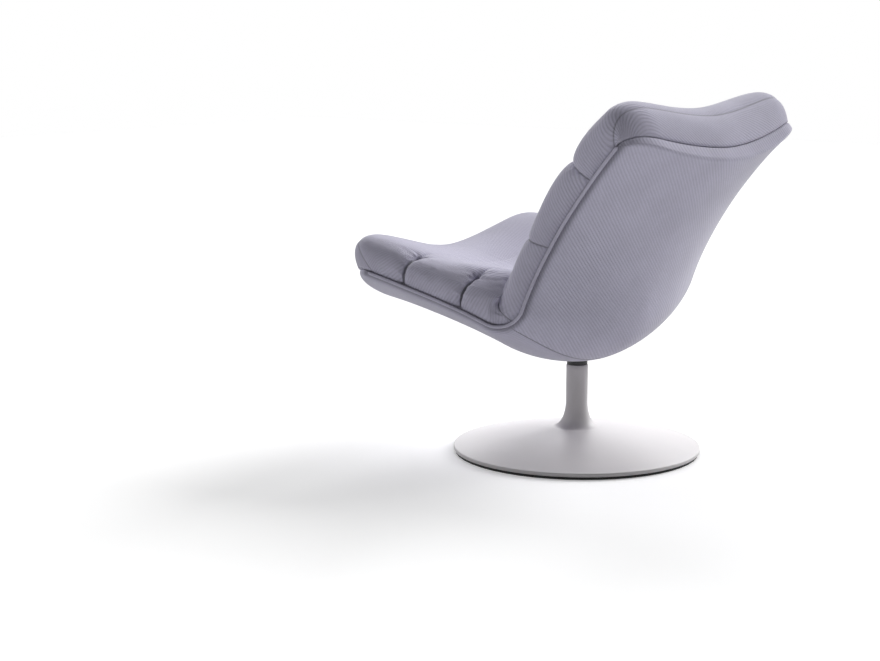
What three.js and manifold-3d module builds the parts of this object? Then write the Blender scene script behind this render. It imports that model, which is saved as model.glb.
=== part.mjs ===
// Pedestal swivel armchair: a padded bucket seat on a round trumpet foot.
// Millimetres, +Z up, origin on the floor under the swivel axis, sitter facing -Y.
import * as THREE from 'three';
import Module from 'manifold-3d';
import { mergeVertices } from 'three/addons/utils/BufferGeometryUtils.js';

const wasm = await Module();
wasm.setup();

// Gap between pieces that touch, overrun of every cut, and the distance at which corners merge
const seatGap = 0.3;
const cutOverrun = 60;
const mergeTolerance = 0.0001;

// Centre line of the seat shell: four arcs in a chain, from the front edge to the top edge,
// hung from the point where the foot carries it
const hubY = -1.09;
const hubZ = 238.41;
const hubShare = 0.12;
const startTiltDeg = -6.3;
const seatRunLength = 393;
const seatTurnDeg = -12.6;
const lumbarRunLength = 224;
const lumbarTurnDeg = 98.3;
const backRunLength = 236;
const backTurnDeg = -27.8;
const headRunLength = 181;
const headTurnDeg = -12.9;

// Half widths and hollow depths of the shell, from the front edge to the top edge
const frontHalfWidth = 332;
const seatHalfWidth = 342;
const lumbarHalfWidth = 327;
const backHalfWidth = 319;
const headHalfWidth = 329;
const frontHollowDepth = 95;
const seatHollowDepth = 91;
const lumbarHollowDepth = 84;
const backHollowDepth = 46;
const headHollowDepth = 56;
const hollowPower = 1.71;
const backStationShare = 0.55;

// Outline of the front and top edges, seen square on
const frontBowDepth = 21;
const frontCornerDepth = 60;
const topEarHeight = 9;
const topCornerDepth = 41;
const cornerStartShare = 0.72;

// Height of the cushions over the shell, from the front edge to the top edge, and their rolled ends
const frontCrownHeight = 99.5;
const noseCrownHeight = 109.5;
const seatCrownHeight = 109;
const rearCrownHeight = 114;
const shoulderCrownHeight = 101;
const creaseCrownHeight = 76;
const lumbarCrownHeight = 109;
const backCrownHeight = 109.5;
const neckCrownHeight = 122.5;
const headCrownHeight = 106;
const nosePlaceShare = 0.5;
const shoulderPlaceShare = 0.58;
const lumbarPlaceShare = 0.57;
const neckPlaceShare = 0.36;
const sidePower = 4.9;
const crownPower = 2.6;
const sideBulgeDepth = 11;
const noseRollDepth = 46;
const noseBulgeDepth = 15;
const headRollDepth = 45;
const headBulgeDepth = 6;
const headLeanDepth = 19;
const rollPower = 2.4;

// Sewn channels: their places along the centre line, their depth and their tuft pits
const seatChannelOneDistance = 181;
const seatChannelTwoDistance = 325;
const creaseDistance = 551;
const backChannelOneDistance = 751;
const backChannelTwoDistance = 910;
const ribPower = 2.3;
const middleValleyShare = 0.03;
const tuftValleyShare = 0.09;
const creaseMiddleValleyShare = 0.12;
const creaseSideValleyShare = 0.04;
const backValleyShare = 0.24;
const faintValleyShare = 0.07;
const backChannelSagDepth = 20;
const tuftStartShare = 0.7;
const tuftEndShare = 0.88;
const endRibCrestShare = 0.6;

// Shell core, covers and piping
const coreThickness = 8;
const coreEdgeShare = 0.96;
const coreEdgeRows = 3;
const coverThickness = 32;
const rimThinningShare = 0.5;
const lipRound = 7;
const lipInnerRound = 6;
const rimRound = 4;
const pipingRadius = 3;
const pipingOutShare = 0.7;
const pipingDropShare = 1.3;
const coverSeamMiddle = 478;
const coverSeamSide = 536;
const coverSeamPower = 1.8;

// Mounting plate under the shell, with its bolts and insert nuts, on a slightly tilted plane
const plateCentreY = 9;
const plateTopZ = 228.5;
const plateTiltDeg = -3.5;
const plateLength = 92;
const plateWidth = 106;
const plateThickness = 4;
const plateCorner = 12;
const bossMargin = 4;
const pocketClearance = 0.6;
const boltPitchX = 76;
const boltPitchY = 64;
const boltRadius = 3;
const boltHeadRadius = 5.5;
const boltHeadHeight = 3.4;
const boltHeadFlatShare = 0.6;
const boltGrip = 11;
const insertRadius = 4.6;
const insertLength = 7;
const insertFlangeRadius = 9;
const insertFlangeThickness = 1.5;
const insertSeat = 10.5;

// Swivel
const spindleRadius = 12.5;
const spindleFootZ = 44;
const spindleChamfer = 1.5;
const runningClearance = 0.05;
const grooveDepth = 1.2;
const ringThickness = 1.8;
const ringWidth = 4;
const ringZ = 56;
const bushWall = 3.6;
const lowerBushZ = 60;
const lowerBushLength = 30;
const upperBushLength = 28;
const bushFlangeThickness = 2;
const washerThickness = 2;
const collarRadius = 22.4;

// Foot
const footRadius = 270;
const padInset = 3.5;
const padHeight = 6;
const rimHeight = 8;
const rimRoundShare = 0.3;
const coneCrown = 3;
const shoulderRadius = 54;
const shoulderZ = 55;
const flarePower = 0.9;
const columnRadius = 23.7;
const columnTopZ = 193;
const flareTopZ = 112;
const sheetThickness = 2.6;
const ballastInset = 22;
const ballastThickness = 8;
const weldRadius = 31;
const weldHeight = 6;

// Facets
const roundSteps = 32;
const smallSteps = 12;
const footSteps = 48;
const flareSteps = 7;
const coneSteps = 3;
const pipingHalfSides = 3;
const plateCornerSteps = 4;

const radians = THREE.MathUtils.degToRad;
const lerp = THREE.MathUtils.lerp;
const clamp = THREE.MathUtils.clamp;
const ease = (share) => THREE.MathUtils.smoothstep(share, 0, 1);

const finishes = {
  paintedFoot: { color: 0xbdb8b8, roughness: 0.5, metalness: 0.1 },
  blackRubber: { color: 0x1b1b1d, roughness: 0.85, metalness: 0 },
  blackPlastic: { color: 0x1d1d20, roughness: 0.55, metalness: 0 },
  steel: { color: 0x9a9da1, roughness: 0.4, metalness: 0.9 },
  nylon: { color: 0xdedbd2, roughness: 0.6, metalness: 0 },
  plywood: { color: 0xb48e62, roughness: 0.7, metalness: 0 },
  fabric: { color: 0x9c98ad, roughness: 0.95, metalness: 0 },
  piping: { color: 0x8f8ba1, roughness: 0.95, metalness: 0 },
};

const chair = new THREE.Group();

function addPiece(parent, name, geometry, finish, position = [0, 0, 0]) {
  const mesh = new THREE.Mesh(geometry, new THREE.MeshStandardMaterial(finishes[finish]));
  mesh.name = name;
  mesh.position.set(...position);
  parent.add(mesh);
}

// Joins like corners, drops faces that have shrunk to a line, and turns the faces outward
function closedGeometry(points, faces) {
  const loose = new THREE.BufferGeometry();
  loose.setAttribute('position', new THREE.Float32BufferAttribute(points.flat(), 3));
  loose.setIndex(faces.flat());
  const merged = mergeVertices(loose, mergeTolerance);
  const corner = merged.getAttribute('position');
  const index = merged.getIndex().array;
  const [a, b, c] = [new THREE.Vector3(), new THREE.Vector3(), new THREE.Vector3()];
  const kept = [];
  let volume = 0;
  for (let i = 0; i < index.length; i += 3) {
    const [p, q, r] = [index[i], index[i + 1], index[i + 2]];
    if (p === q || q === r || r === p) continue;
    kept.push([p, q, r]);
    a.fromBufferAttribute(corner, p);
    b.fromBufferAttribute(corner, q);
    c.fromBufferAttribute(corner, r);
    volume += a.dot(b.cross(c));
  }
  merged.setIndex(kept.flatMap(([p, q, r]) => (volume > 0 ? [p, q, r] : [p, r, q])));
  return merged;
}

function toSolid(geometry) {
  const bare = geometry.clone();
  bare.deleteAttribute('normal');
  bare.deleteAttribute('uv');
  const points = bare.getAttribute('position').array;
  const index = bare.getIndex() ? Array.from(bare.getIndex().array) : [...Array(points.length / 3).keys()];
  const corners = [...Array(points.length / 3).keys()].map((i) => Array.from(points.slice(3 * i, 3 * i + 3)));
  const merged = closedGeometry(corners, index);
  return new wasm.Manifold(new wasm.Mesh({
    numProp: 3,
    vertProperties: new Float32Array(merged.getAttribute('position').array),
    triVerts: new Uint32Array(merged.getIndex().array),
  }));
}

function fromSolid(solid) {
  const mesh = solid.getMesh();
  const geometry = new THREE.BufferGeometry();
  geometry.setAttribute('position', new THREE.BufferAttribute(new Float32Array(mesh.vertProperties), 3));
  geometry.setIndex(new THREE.BufferAttribute(new Uint32Array(mesh.triVerts), 1));
  return geometry;
}

// Piece turned about the upright axis from [radius, height] corners of its closed section
function turned(section, steps = roundSteps) {
  const corners = section.map(([r, z]) => new THREE.Vector2(r, z));
  if (section[0][0] > 0) corners.push(corners[0]);
  return new THREE.LatheGeometry(corners, steps).rotateX(Math.PI / 2);
}

function roundBar(radius, lowZ, highZ, steps = roundSteps) {
  return turned([[0, lowZ], [radius, lowZ], [radius, highZ], [0, highZ]], steps);
}

function flatRing(inner, outer, lowZ, highZ, steps = roundSteps) {
  return turned([[inner, lowZ], [outer, lowZ], [outer, highZ], [inner, highZ]], steps);
}

// Corner radius of a faceted bore whose flats still clear a round shaft
function boreRadius(shaftRadius, clearance, steps = roundSteps) {
  return (shaftRadius + clearance) / Math.cos(Math.PI / steps);
}

// Natural cubic curve through values at given places
function smoothCurve(places, values) {
  const last = places.length - 1;
  const step = places.slice(1).map((place, i) => place - places[i]);
  const slope = step.map((width, i) => (values[i + 1] - values[i]) / width);
  const share = [0];
  const part = [0];
  for (let i = 1; i < last; i++) {
    const pivot = 2 * (step[i - 1] + step[i]) - step[i - 1] * share[i - 1];
    share.push(step[i] / pivot);
    part.push((6 * (slope[i] - slope[i - 1]) - step[i - 1] * part[i - 1]) / pivot);
  }
  const bend = places.map(() => 0);
  for (let i = last - 1; i > 0; i--) bend[i] = part[i] - share[i] * bend[i + 1];
  return (place) => {
    const at = clamp(place, places[0], places[last]);
    const i = Math.min(places.findLastIndex((start) => start <= at), last - 1);
    const after = at - places[i];
    const left = places[i + 1] - at;
    const ends = (bend[i] * left ** 3 + bend[i + 1] * after ** 3) / (6 * step[i]);
    const low = (values[i] / step[i] - (bend[i] * step[i]) / 6) * left;
    const high = (values[i + 1] / step[i] - (bend[i + 1] * step[i]) / 6) * after;
    return ends + low + high;
  };
}

const runs = [
  { length: seatRunLength, turn: radians(seatTurnDeg) },
  { length: lumbarRunLength, turn: radians(lumbarTurnDeg) },
  { length: backRunLength, turn: radians(backTurnDeg) },
  { length: headRunLength, turn: radians(headTurnDeg) },
];
const shellLength = seatRunLength + lumbarRunLength + backRunLength + headRunLength;
const stations = [
  0,
  seatRunLength / 2,
  seatRunLength + lumbarRunLength / 2,
  seatRunLength + lumbarRunLength + backRunLength * backStationShare,
  shellLength,
];
const halfWidthAt = smoothCurve(
  stations, [frontHalfWidth, seatHalfWidth, lumbarHalfWidth, backHalfWidth, headHalfWidth]);
const hollowAt = smoothCurve(
  stations, [frontHollowDepth, seatHollowDepth, lumbarHollowDepth, backHollowDepth, headHollowDepth]);
const crownStations = [
  0,
  seatChannelOneDistance * nosePlaceShare,
  seatRunLength / 2,
  seatChannelTwoDistance,
  lerp(seatChannelTwoDistance, creaseDistance, shoulderPlaceShare),
  creaseDistance,
  lerp(creaseDistance, backChannelOneDistance, lumbarPlaceShare),
  seatRunLength + lumbarRunLength + backRunLength * backStationShare,
  lerp(backChannelTwoDistance, shellLength, neckPlaceShare),
  shellLength,
];
const crownAt = smoothCurve(crownStations, [
  frontCrownHeight, noseCrownHeight, seatCrownHeight, rearCrownHeight, shoulderCrownHeight,
  creaseCrownHeight, lumbarCrownHeight, backCrownHeight, neckCrownHeight, headCrownHeight,
]);

// Place and slope on the chain of arcs at a distance from its own start
function arcChain(along) {
  let y = 0;
  let z = 0;
  let slope = radians(startTiltDeg);
  let start = 0;
  for (const [i, run] of runs.entries()) {
    const last = i === runs.length - 1 || along - start <= run.length;
    const bend = run.turn / run.length;
    const end = slope + bend * (last ? along - start : run.length);
    y += (Math.sin(end) - Math.sin(slope)) / bend;
    z -= (Math.cos(end) - Math.cos(slope)) / bend;
    slope = end;
    if (last) break;
    start += run.length;
  }
  return { y, z, slope };
}
const hub = arcChain(seatRunLength + lumbarRunLength * hubShare);

// Place and slope of the centre line at a distance along it
function centreLine(along) {
  const { y, z, slope } = arcChain(along);
  return { y: y - hub.y + hubY, z: z - hub.z + hubZ, slope };
}

// Point over the shell's inner face: along the centre line, a share across the half width,
// a lift towards the sitter and a push sideways
function overShell(along, across, lift = 0, push = 0) {
  const { y, z, slope } = centreLine(along);
  const rise = hollowAt(along) * Math.abs(across) ** hollowPower + lift;
  const x = halfWidthAt(along) * across + push * Math.sign(across);
  return [x, y - rise * Math.sin(slope), z + rise * Math.cos(slope)];
}

function cornerDrop(across) {
  const past = clamp((Math.abs(across) - cornerStartShare) / (1 - cornerStartShare), 0, 1);
  return 1 - Math.sqrt(1 - past * past);
}

function frontEdge(across) {
  return frontBowDepth * across * across + frontCornerDepth * cornerDrop(across);
}

function topEdge(across) {
  return shellLength + topEarHeight * across * across - topCornerDepth * cornerDrop(across);
}

// Columns across: a full turn of the cushion's section, and the shares of the half width below it
const quarterTurnDegrees = [0, 16, 32, 48, 63, 77, 86, 89.3, 90];
const sectionTurns = [
  ...quarterTurnDegrees,
  ...quarterTurnDegrees.slice(0, -1).reverse().map((turn) => 180 - turn),
].map(radians);
function acrossAt(turn) {
  const level = Math.cos(turn);
  return Math.sign(level) * Math.abs(level) ** (2 / sidePower);
}
const columns = sectionTurns.map(acrossAt);

// Rows along: a rolled front end, six ribs between the channels and a rolled top end
const rollTurnDegrees = [0, 20, 42, 65, 90];
const endRibShares = [0.35, 0.7, 0.92, 1];
const ribShares = [0.07, 0.25, 0.5, 0.75, 0.93, 1];
const bentRibShares = [0.06, 0.21, 0.4, 0.6, 0.79, 0.94, 1];
const channels = [
  seatChannelOneDistance, seatChannelTwoDistance, creaseDistance,
  backChannelOneDistance, backChannelTwoDistance,
];

function rollShare(turnDeg) {
  return 1 - Math.cos(radians(turnDeg)) ** (2 / rollPower);
}

function rollRise(turnDeg) {
  return Math.sin(radians(turnDeg)) ** (2 / rollPower);
}

// Each row: its place for a share across, how far the end roll has risen, how far the rib has
// risen, how much it leans out over the front (-) or the top (+), and its share of the sag
function makeRows() {
  const rows = [];
  for (const turn of rollTurnDegrees) {
    rows.push({
      along: (across) => frontEdge(across) + noseRollDepth * rollShare(turn),
      rolled: rollRise(turn), rib: 1, lean: -1, sag: 0,
    });
  }
  for (const share of endRibShares) {
    rows.push({
      along: (across) => lerp(frontEdge(across) + noseRollDepth, channels[0], share),
      rolled: 1, rib: endRib(1 - share), lean: -(1 - share), sag: 0,
    });
  }
  for (let i = 0; i < channels.length - 1; i++) {
    const bent = channels[i + 1] === creaseDistance || channels[i] === creaseDistance;
    const sags = [channels[i], channels[i + 1]].map((place) => (place > creaseDistance ? 1 : 0));
    const [sagBefore, sagAfter] = sags;
    for (const share of bent ? bentRibShares : ribShares) {
      rows.push({
        along: () => lerp(channels[i], channels[i + 1], share),
        rolled: 1, rib: fullRib(share), lean: 0, sag: lerp(sagBefore, sagAfter, share),
      });
    }
  }
  for (const share of endRibShares.slice(0, -1).reverse()) {
    rows.push({
      along: (across) => lerp(topEdge(across) - headRollDepth, channels.at(-1), share),
      rolled: 1, rib: endRib(1 - share), lean: 1 - share, sag: share,
    });
  }
  for (const turn of [...rollTurnDegrees].reverse()) {
    rows.push({
      along: (across) => topEdge(across) - headRollDepth * rollShare(turn),
      rolled: rollRise(turn), rib: 1, lean: 1, sag: 0,
    });
  }
  return rows;
}

function fullRib(share) {
  return (1 - Math.abs(2 * share - 1) ** ribPower) ** (1 / ribPower);
}

function endRib(share) {
  return (1 - (1 - Math.min(share / endRibCrestShare, 1)) ** ribPower) ** (1 / ribPower);
}

const rows = makeRows();
const creaseRow = rows.findIndex((row) => row.along(0) === creaseDistance);

// Closed solid between two grids of points with the same rows and columns
function slab(upper, lower) {
  const rowCount = upper.length;
  const columnCount = upper[0].length;
  const points = [...upper.flat(), ...lower.flat()];
  const under = rowCount * columnCount;
  const at = (row, column, side) => row * columnCount + column + side * under;
  const faces = [];
  const quad = (a, b, c, d) => faces.push([a, b, c], [a, c, d]);
  for (let i = 0; i < rowCount - 1; i++) {
    for (let j = 0; j < columnCount - 1; j++) {
      quad(at(i, j, 0), at(i + 1, j, 0), at(i + 1, j + 1, 0), at(i, j + 1, 0));
      faces.push([at(i, j, 1), at(i + 1, j + 1, 1), at(i + 1, j, 1)]);
      faces.push([at(i, j, 1), at(i, j + 1, 1), at(i + 1, j + 1, 1)]);
    }
  }
  for (let i = 0; i < rowCount - 1; i++) {
    const end = columnCount - 1;
    quad(at(i, 0, 1), at(i + 1, 0, 1), at(i + 1, 0, 0), at(i, 0, 0));
    quad(at(i + 1, end, 1), at(i, end, 1), at(i, end, 0), at(i + 1, end, 0));
  }
  for (let j = 0; j < columnCount - 1; j++) {
    const end = rowCount - 1;
    quad(at(0, j + 1, 1), at(0, j, 1), at(0, j, 0), at(0, j + 1, 0));
    quad(at(end, j, 1), at(end, j + 1, 1), at(end, j + 1, 0), at(end, j, 0));
  }
  return closedGeometry(points, faces);
}

// Grid of points at one lift over the shell; the lift may follow the place
function grid(someRows, someColumns, liftAt, shiftAlong = () => 0, spread = 0) {
  return someRows.map((row, i) => someColumns.map((across) => {
    const along = row.along(across) + shiftAlong(i);
    return overShell(along, across, liftAt(along, across), spread);
  }));
}

// Height share lost in a channel: on the seat it deepens towards the sides, where the tufts are,
// and fades into the crease; on the back it is even across and faint at the first channel
function valleyShare(along, across) {
  if (along > creaseDistance + seatGap) {
    const spacing = backChannelTwoDistance - backChannelOneDistance;
    const away = Math.abs(along - backChannelOneDistance) / spacing;
    return lerp(faintValleyShare, backValleyShare, Math.min(away, 1));
  }
  const toSide = ease((Math.abs(across) - tuftStartShare) / (tuftEndShare - tuftStartShare));
  const toCrease = ease((along - seatChannelTwoDistance) / (creaseDistance - seatChannelTwoDistance));
  return lerp(
    lerp(middleValleyShare, tuftValleyShare, toSide),
    lerp(creaseMiddleValleyShare, creaseSideValleyShare, toSide),
    toCrease);
}

function cushionTop(row, turn) {
  const across = acrossAt(turn);
  const base = row.along(across);
  const up = Math.abs(Math.sin(turn)) ** (2 / crownPower);
  const height = row.rolled * up;
  const [lean, bulge] = row.lean < 0 ? [0, noseBulgeDepth] : [headLeanDepth, headBulgeDepth];
  const swell = row.rolled < 1 ? 4 * height * (1 - height) : 0;
  const reach = row.lean * lean * height + Math.sign(row.lean) * bulge * swell;
  const along = base + reach - backChannelSagDepth * row.sag * height;
  const valley = valleyShare(base, across);
  const lift = crownAt(base) * height * (1 - valley * (1 - row.rib));
  const pinch = Math.min(valley / backValleyShare, 1) * (1 - row.rib);
  const push = 4 * sideBulgeDepth * (1 - pinch) * row.rolled * up * (1 - up);
  return overShell(along, across, lift, push);
}

function cushion(someRows) {
  const upper = someRows.map((row) => sectionTurns.map((turn) => cushionTop(row, turn)));
  const lower = grid(someRows, columns, () => 0);
  return slab(upper, lower);
}

addPiece(chair, 'seat_cushion', cushion(rows.slice(0, creaseRow + 1)), 'fabric');
const backRows = rows.slice(creaseRow);
backRows[0] = { ...backRows[0], along: () => creaseDistance + seatGap };
addPiece(chair, 'back_cushion', cushion(backRows), 'fabric');

// Frame of the tilted mounting plane: origin at the plate's top face, over the spindle
const plateFrame = new THREE.Matrix4()
  .makeTranslation(0, plateCentreY, plateTopZ)
  .multiply(new THREE.Matrix4().makeRotationX(radians(plateTiltDeg)));
const boltPlaces = [-1, 1].flatMap((i) => [-1, 1].map((j) => [i * boltPitchX / 2, j * boltPitchY / 2]));

// Flat plate with round corners, lying in the plane z = lowZ
function roundedPlate(width, length, lowZ, thickness) {
  const [x, y, r] = [width / 2, length / 2, plateCorner];
  const outline = new THREE.Shape();
  outline.absarc(x - r, y - r, r, 0, Math.PI / 2);
  outline.absarc(r - x, y - r, r, Math.PI / 2, Math.PI);
  outline.absarc(r - x, r - y, r, Math.PI, 1.5 * Math.PI);
  outline.absarc(x - r, r - y, r, 1.5 * Math.PI, 2 * Math.PI);
  const options = { depth: thickness, bevelEnabled: false, curveSegments: plateCornerSteps };
  return new THREE.ExtrudeGeometry(outline, options).translate(0, 0, lowZ);
}

// Block with the plate's outline and a margin round it, from one level upward
function grownPlate(margin, level) {
  return roundedPlate(plateWidth + 2 * margin, plateLength + 2 * margin, level, cutOverrun - level);
}

function onPlate(geometry) {
  return geometry.applyMatrix4(plateFrame);
}

// Shell core: one moulded sheet with a flat-bottomed boss, drilled for the insert nuts
function shellCore() {
  const coreRows = rows.slice(coreEdgeRows, rows.length - coreEdgeRows);
  const coreColumns = columns.filter((across) => Math.abs(across) < coreEdgeShare);
  const sheet = toSolid(slab(
    grid(coreRows, coreColumns, () => -seatGap),
    grid(coreRows, coreColumns, () => -seatGap - coreThickness)));
  const filling = toSolid(slab(
    grid(coreRows, coreColumns, () => -seatGap - coreThickness / 2),
    grid(coreRows, coreColumns, () => -seatGap - cutOverrun)));
  const bossBlock = toSolid(onPlate(grownPlate(bossMargin, seatGap)));
  let core = sheet.add(filling.intersect(bossBlock));
  for (const [x, y] of boltPlaces) {
    const bore = insertRadius + seatGap;
    const mouth = insertFlangeRadius + seatGap;
    const drill = turned([
      [0, -cutOverrun], [bore, -cutOverrun], [bore, insertSeat],
      [mouth, insertSeat], [mouth, cutOverrun], [0, cutOverrun],
    ], smallSteps);
    core = core.subtract(toSolid(onPlate(drill.translate(x, y, 0))));
  }
  const recess = toSolid(slab(
    grid(coreRows, coreColumns, () => cutOverrun / 4, (i) => endShift(i, coreRows.length), seatGap),
    grid(coreRows, coreColumns, () => -2 * seatGap - coreThickness,
      (i) => endShift(i, coreRows.length), seatGap)));
  return { core: fromSolid(core), recess };
}

function endShift(i, count) {
  if (i === 0) return -seatGap;
  return i === count - 1 ? seatGap : 0;
}

const { core, recess } = shellCore();
addPiece(chair, 'shell_core', core, 'plywood');

// How far a cover's face falls back from its edge, as a quarter round
function edgeFall(distance, round) {
  const near = clamp(1 - distance / round, 0, 1);
  return round * (1 - Math.sqrt(1 - near * near));
}

function edgeDistance(along, across) {
  return Math.min(along - frontEdge(across), topEdge(across) - along);
}

function coverInside(along, across) {
  const rebate = Math.abs(across) === 1 ? 2 * pipingRadius + seatGap : 0;
  return -seatGap - edgeFall(edgeDistance(along, across), lipInnerRound) - rebate;
}

function coverOutside(along, across) {
  const thinned = coverThickness * (1 - rimThinningShare * across ** 4);
  const side = Math.abs(across) === 1 ? rimRound : 0;
  return side - thinned + edgeFall(edgeDistance(along, across), lipRound) * (thinned / coverThickness);
}

// Padded covers: one skin round the shell's outside, cut at the seam into a seat and a back cover
function covers() {
  const headDepth = plateThickness + boltHeadHeight + seatGap + pocketClearance;
  const plateRoom = toSolid(onPlate(grownPlate(pocketClearance, -headDepth)));
  const bossRoom = toSolid(onPlate(grownPlate(bossMargin + pocketClearance, -pocketClearance)));
  const pocket = plateRoom.add(bossRoom);
  const collarHole = toSolid(roundBar(boreRadius(collarRadius, seatGap), columnTopZ - cutOverrun, plateTopZ));
  const skin = toSolid(slab(grid(rows, columns, coverInside), grid(rows, columns, coverOutside)))
    .subtract(recess)
    .subtract(pocket)
    .subtract(collarHole);
  const halfShares = [1.3, 1, 0.8, 0.6, 0.4, 0.2, 0];
  const cutColumns = [...halfShares, ...halfShares.slice(0, -1).reverse().map((across) => -across)];
  const frontSide = (shift) => toSolid(slab(
    seamGrid(cutColumns, cutOverrun / 2, shift),
    seamGrid(cutColumns, -cutOverrun, shift)));
  return {
    seat: fromSolid(skin.intersect(frontSide(0))),
    back: fromSolid(skin.subtract(frontSide(seatGap))),
  };
}

function seamAt(across) {
  return lerp(coverSeamMiddle, coverSeamSide, Math.min(Math.abs(across), 1) ** coverSeamPower);
}

function seamGrid(cutColumns, lift, shift) {
  const rowShares = [-0.2, 0, 0.2, 0.4, 0.6, 0.8, 0.9, 1];
  return rowShares.map((share) => cutColumns.map(
    (across) => overShell(seamAt(across) * share + shift, across, lift)));
}

const cover = covers();
addPiece(chair, 'seat_cover', cover.seat, 'fabric');
addPiece(chair, 'back_cover', cover.back, 'fabric');

// Piping: a thin cord in the crease between cushion and cover, down the sitter's left and right
class SidePath extends THREE.Curve {
  constructor(side) {
    super();
    const out = pipingOutShare * pipingRadius;
    const drop = pipingDropShare * pipingRadius + seatGap;
    this.corners = rows.slice(1, -1)
      .map((row) => new THREE.Vector3(...overShell(row.along(side), side, -drop, out)));
  }

  getPoint(share, target = new THREE.Vector3()) {
    const place = clamp(share, 0, 1) * (this.corners.length - 1);
    const i = Math.min(Math.floor(place), this.corners.length - 2);
    return target.lerpVectors(this.corners[i], this.corners[i + 1], place - i);
  }
}

function piping(side) {
  const section = new THREE.Shape();
  section.absarc(0, 0, pipingRadius, 0, 2 * Math.PI);
  return new THREE.ExtrudeGeometry(section, {
    steps: rows.length, curveSegments: pipingHalfSides, extrudePath: new SidePath(side),
  });
}

addPiece(chair, 'left_piping', piping(1), 'piping');
addPiece(chair, 'right_piping', piping(-1), 'piping');

// Mounting plate with its bolts and insert nuts
const plateGroup = new THREE.Group();
plateGroup.applyMatrix4(plateFrame);
chair.add(plateGroup);

function mountingPlate() {
  const upright = new THREE.Matrix4().copy(plateFrame).invert();
  const bore = roundBar(boreRadius(spindleRadius, seatGap), plateTopZ - cutOverrun, plateTopZ + cutOverrun);
  let plate = toSolid(roundedPlate(plateWidth, plateLength, -plateThickness, plateThickness))
    .subtract(toSolid(bore.applyMatrix4(upright)));
  for (const [x, y] of boltPlaces) {
    const hole = roundBar(boltRadius + seatGap, -cutOverrun, cutOverrun, smallSteps);
    plate = plate.subtract(toSolid(hole.translate(x, y, 0)));
  }
  return fromSolid(plate);
}

function plateBolt() {
  const headTop = -plateThickness - seatGap;
  return turned([
    [0, headTop - boltHeadHeight], [boltHeadRadius * boltHeadFlatShare, headTop - boltHeadHeight],
    [boltHeadRadius, headTop - boltHeadHeight / 2], [boltHeadRadius, headTop],
    [boltRadius, headTop], [boltRadius, boltGrip], [0, boltGrip],
  ], smallSteps);
}

function insertNut() {
  const bore = boreRadius(boltRadius, seatGap, smallSteps);
  const top = insertSeat + seatGap + insertFlangeThickness;
  const flange = insertSeat + seatGap;
  return turned([
    [bore, flange - insertLength], [insertRadius, flange - insertLength], [insertRadius, flange],
    [insertFlangeRadius, flange], [insertFlangeRadius, top], [bore, top],
  ], smallSteps);
}

addPiece(plateGroup, 'mounting_plate', mountingPlate(), 'steel');
boltPlaces.forEach(([x, y], i) => {
  addPiece(plateGroup, `plate_bolt_${i + 1}`, plateBolt(), 'steel', [x, y, 0]);
  addPiece(plateGroup, `insert_nut_${i + 1}`, insertNut(), 'steel', [x, y, 0]);
});

// Swivel: the spindle and its collar turn in two bushes pressed into the stem tube
const stemRadius = columnRadius - sheetThickness - seatGap;
const bushOuter = spindleRadius + bushWall;
const washerTop = columnTopZ + seatGap;
const washerLow = washerTop - washerThickness;
const flangeTop = washerLow - seatGap;
const stemTop = flangeTop - bushFlangeThickness - seatGap;
const bushBore = boreRadius(spindleRadius, runningClearance);

function spindle() {
  const throat = spindleRadius - grooveDepth;
  const grooveTop = ringZ + ringThickness + seatGap;
  const body = turned([
    [0, spindleFootZ], [spindleRadius - spindleChamfer, spindleFootZ],
    [spindleRadius, spindleFootZ + spindleChamfer], [spindleRadius, ringZ - seatGap],
    [throat, ringZ - seatGap], [throat, grooveTop], [spindleRadius, grooveTop],
    [spindleRadius, plateTopZ], [0, plateTopZ],
  ]);
  return fromSolid(toSolid(body).subtract(abovePlane(0)));
}

// Everything above a level of the tilted mounting plane
function abovePlane(level) {
  return toSolid(onPlate(roundedPlate(plateWidth, plateLength, level, cutOverrun)));
}

function collar() {
  const ring = flatRing(boreRadius(spindleRadius, seatGap), collarRadius, washerTop + seatGap, plateTopZ);
  return fromSolid(toSolid(ring).subtract(abovePlane(-plateThickness - seatGap)));
}

function upperBush() {
  return turned([
    [bushBore, flangeTop - upperBushLength], [bushOuter, flangeTop - upperBushLength],
    [bushOuter, flangeTop - bushFlangeThickness], [stemRadius, flangeTop - bushFlangeThickness],
    [stemRadius, flangeTop], [bushBore, flangeTop],
  ]);
}

addPiece(chair, 'swivel_spindle', spindle(), 'steel');
addPiece(chair, 'swivel_collar', collar(), 'blackPlastic');
addPiece(chair, 'thrust_washer', flatRing(bushBore, stemRadius, washerLow, washerTop), 'nylon');
addPiece(chair, 'upper_bush', upperBush(), 'nylon');
addPiece(chair, 'lower_bush', flatRing(bushBore, bushOuter, lowerBushZ, lowerBushZ + lowerBushLength), 'nylon');
const ringBore = spindleRadius - grooveDepth + seatGap;
addPiece(chair, 'retaining_ring',
  flatRing(ringBore, ringBore + ringWidth, ringZ, ringZ + ringThickness), 'steel');

// Foot: floor pad, ballast plate, stem tube and the one-piece trumpet cover
function stemTube() {
  const low = padHeight + 2 * seatGap + ballastThickness;
  const bore = bushOuter + seatGap;
  return turned([
    [bore, low], [weldRadius, low], [stemRadius, low + weldHeight],
    [stemRadius, stemTop], [bore, stemTop],
  ]);
}

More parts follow.
